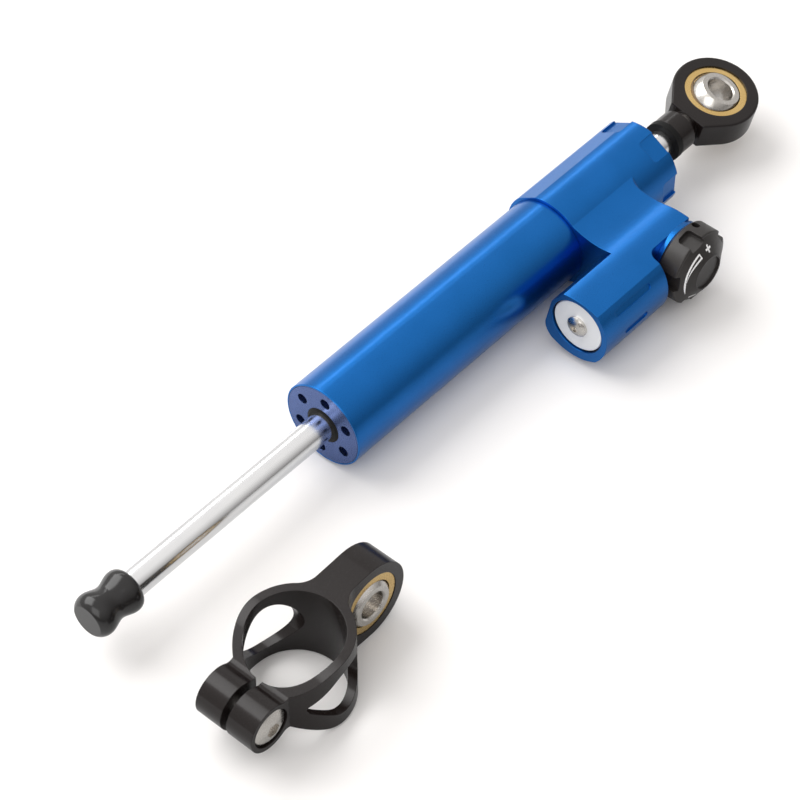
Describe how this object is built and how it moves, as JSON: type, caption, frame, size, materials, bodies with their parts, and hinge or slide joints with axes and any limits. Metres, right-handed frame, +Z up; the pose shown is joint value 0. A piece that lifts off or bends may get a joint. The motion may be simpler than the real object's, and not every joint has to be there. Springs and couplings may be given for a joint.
{
  "type": "steering damper",
  "caption": "Linear hydraulic motorcycle steering damper with a click adjuster knob, side reservoir, spherical rod end and a separate split tube clamp with a spherical bearing.",
  "frame": {"origin": "centre of the tube's front face, on the damper's axis", "axes": "+X along the rod towards the rod end, +Z up with the damper lying on its sleeve, adjuster knob on the -Y side"},
  "size_m": [0.3351, 0.0944, 0.0346],
  "materials": {
    "blue_anodised": "satin",
    "dark_anodised": "satin",
    "chrome": "polished",
    "steel": "satin",
    "black_steel": "satin",
    "aluminium": "satin",
    "brass": "satin",
    "rubber": "matt",
    "ptfe": "matt",
    "white_mark": "matt"
  },
  "bodies": {
    "damper_body": {"cylinder_tube": "blue_anodised", "inner_liner": "steel", "valve_housing": "blue_anodised", "front_rod_guide": "blue_anodised", "rear_rod_guide": "blue_anodised", "front_wiper": "rubber", "rear_wiper": "rubber", "front_rod_seal": "rubber", "rear_rod_seal": "rubber", "front_guide_bush": "brass", "rear_guide_bush": "brass", "front_guide_o_ring": "rubber", "rear_guide_o_ring": "rubber", "adjuster_gland": "blue_anodised", "spindle_o_ring": "rubber", "valve_seat": "brass", "detent_ball": "steel", "detent_spring": "steel", "reservoir_cap": "aluminium", "reservoir_ring": "black_steel", "reservoir_screw": "steel", "cap_o_ring": "rubber", "compensation_spring": "steel"},
    "band": {"piston_band": "ptfe"},
    "rod": {"piston_rod": "chrome", "piston": "aluminium", "piston_clips": "steel", "rod_bumper": "rubber", "rod_end": "dark_anodised", "rod_end_washer": "rubber", "rod_end_race": "brass"},
    "rod_end_liner": {"rod_end_liner": "ptfe"},
    "rod_end_ball": {"rod_end_ball": "steel"},
    "adjuster": {"adjuster_knob": "dark_anodised", "knob_marks": "white_mark", "knob_grub_screw": "black_steel", "adjuster_spindle": "steel"},
    "separator": {"separator_piston": "aluminium", "separator_o_ring": "rubber"},
    "clamp": {"clamp_body": "dark_anodised", "clamp_race": "brass", "clamp_screw": "steel"},
    "clamp_liner": {"clamp_liner": "ptfe"},
    "clamp_ball": {"clamp_ball": "steel"}
  },
  "joints": [
    {"name": "rod_stroke", "type": "slide", "parent": "damper_body", "child": "band", "axis": [1, 0, 0], "range_m": [0, 0.075]},
    {"name": "rod_turn", "type": "hinge", "parent": "band", "child": "rod", "pos_m": [0, 0, 0], "axis": [1, 0, 0], "continuous": true},
    {"name": "rod_end_ball_tilt", "type": "hinge", "parent": "rod", "child": "rod_end_liner", "pos_m": [0.2106, 0, 0], "axis": [0.5651, 0.8054, 0.1786], "range_deg": [-30, 1]},
    {"name": "rod_end_ball_swivel", "type": "hinge", "parent": "rod_end_liner", "child": "rod_end_ball", "pos_m": [0.2106, 0, 0], "axis": [0.2062, -0.3475, 0.9147], "continuous": true},
    {"name": "adjuster_turn", "type": "hinge", "parent": "damper_body", "child": "adjuster", "pos_m": [0.1395, -0.045, 0], "axis": [0, -1, 0], "range_deg": [0, 300]},
    {"name": "separator_float", "type": "slide", "parent": "damper_body", "child": "separator", "axis": [1, 0, 0], "range_m": [-0.001, 0.003], "stiffness_N_per_m": 2000, "deforming": ["compensation_spring"]},
    {"name": "clamp_lift", "type": "slide", "parent": "damper_body", "child": "clamp", "axis": [0, 0, 1], "range_m": [0, 0.1]},
    {"name": "clamp_ball_tilt", "type": "hinge", "parent": "clamp", "child": "clamp_liner", "pos_m": [-0.0443, -0.0545, -0.00185], "axis": [1, 0, 0], "range_deg": [-12, 12]},
    {"name": "clamp_ball_swivel", "type": "hinge", "parent": "clamp_liner", "child": "clamp_ball", "pos_m": [-0.0443, -0.0545, -0.00185], "axis": [0, -1, 0], "continuous": true}
  ]
}
